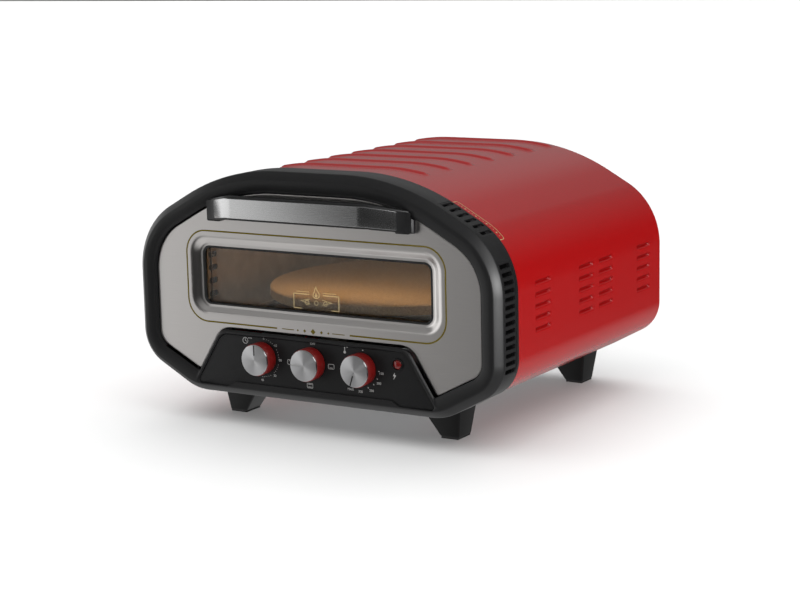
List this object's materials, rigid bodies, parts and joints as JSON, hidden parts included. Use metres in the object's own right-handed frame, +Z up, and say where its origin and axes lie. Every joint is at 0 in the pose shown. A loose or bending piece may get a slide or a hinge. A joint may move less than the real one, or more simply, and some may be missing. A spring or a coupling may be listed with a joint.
{
  "type": "countertop pizza oven",
  "caption": "Countertop electric pizza oven: rounded red casing, black bezel, drop-down steel door with window and bar handle, control knobs, stone baking deck.",
  "frame": {"origin": "centre of the whole object's footprint, on the surface that the feet stand on", "axes": "+Z up, the door and controls face -Y, +X to the right of a person who faces the door"},
  "size_m": [0.47, 0.436, 0.289],
  "materials": {
    "black_plastic": "satin",
    "red_paint": "gloss",
    "black_paint": "satin",
    "dark_steel": "satin",
    "galvanised": "satin",
    "brushed_steel": "satin",
    "handle_metal": "satin",
    "knob_red": "satin",
    "spun_aluminium": "satin",
    "bright_steel": "polished",
    "chamber_steel": "satin",
    "clear_glass": "polished",
    "lamp_red": "polished",
    "lamp_holder": "satin",
    "seal_rubber": "matte",
    "seal_fabric": "matte",
    "insulation": "matte",
    "element_sheath": "matte",
    "ceramic_white": "satin",
    "stone": "matte",
    "wire_sleeve": "satin",
    "pale_print": "matte",
    "gold_print": "matte"
  },
  "bodies": {
    "housing": {"front_bezel": "black_plastic", "control_panel": "black_plastic", "indicator_bezel": "black_plastic", "indicator_lens": "lamp_red", "indicator_lamp": "lamp_holder", "front_frame": "dark_steel", "outer_casing": "red_paint", "rear_panel": "black_paint", "base_pan": "galvanised", "foot_front_left": "black_plastic", "foot_front_right": "black_plastic", "foot_rear_left": "black_plastic", "foot_rear_right": "black_plastic", "foot_pads": "seal_rubber", "foot_screws": "bright_steel", "rear_screws": "bright_steel", "bezel_screws": "bright_steel", "base_screws": "bright_steel", "chamber_shell": "chamber_steel", "chamber_rear_wall": "chamber_steel", "insulation_blanket": "insulation", "upper_element": "element_sheath", "lower_element": "element_sheath", "element_straps": "galvanised", "element_bushes": "ceramic_white", "stone_support": "galvanised", "pizza_stone": "stone", "control_bracket": "galvanised", "timer_mechanism": "lamp_holder", "selector_switch": "lamp_holder", "thermostat_body": "lamp_holder", "thermostat_bulb": "bright_steel", "hinge_brackets": "bright_steel", "hinge_pins": "bright_steel", "thermal_cutout": "bright_steel", "terminal_block": "lamp_holder", "cord_gland": "black_plastic", "internal_wiring": "wire_sleeve"},
    "door": {"door_skin": "brushed_steel", "window_gasket": "seal_rubber", "door_outer_glass": "clear_glass", "door_inner_glass": "clear_glass", "door_liner": "chamber_steel", "glass_retainer": "chamber_steel", "door_vent_strips": "chamber_steel", "door_seal": "seal_fabric", "handle_body": "black_plastic", "handle_trim": "handle_metal", "handle_screws": "bright_steel", "hinge_arms": "bright_steel"},
    "timer_knob_body": {"timer_knob": "knob_red", "timer_cap": "spun_aluminium", "timer_shaft": "bright_steel"},
    "selector_knob_body": {"selector_knob": "knob_red", "selector_cap": "spun_aluminium", "selector_shaft": "bright_steel"},
    "thermostat_knob_body": {"thermostat_knob": "knob_red", "thermostat_cap": "spun_aluminium", "thermostat_shaft": "bright_steel"}
  },
  "joints": [
    {"name": "door_hinge", "type": "hinge", "parent": "housing", "child": "door", "pos_m": [0, -0.186, 0.053], "axis": [1, 0, 0], "range_deg": [0, 90]},
    {"name": "timer_turn", "type": "hinge", "parent": "housing", "child": "timer_knob_body", "pos_m": [-0.065, -0.2045, 0.0815], "axis": [0, 1, 0], "range_deg": [0, 196]},
    {"name": "selector_turn", "type": "hinge", "parent": "housing", "child": "selector_knob_body", "pos_m": [0, -0.2045, 0.0815], "axis": [0, 1, 0], "range_deg": [-270, 0]},
    {"name": "thermostat_turn", "type": "hinge", "parent": "housing", "child": "thermostat_knob_body", "pos_m": [0.065, -0.2045, 0.0815], "axis": [0, 1, 0], "range_deg": [-198, 22]}
  ]
}
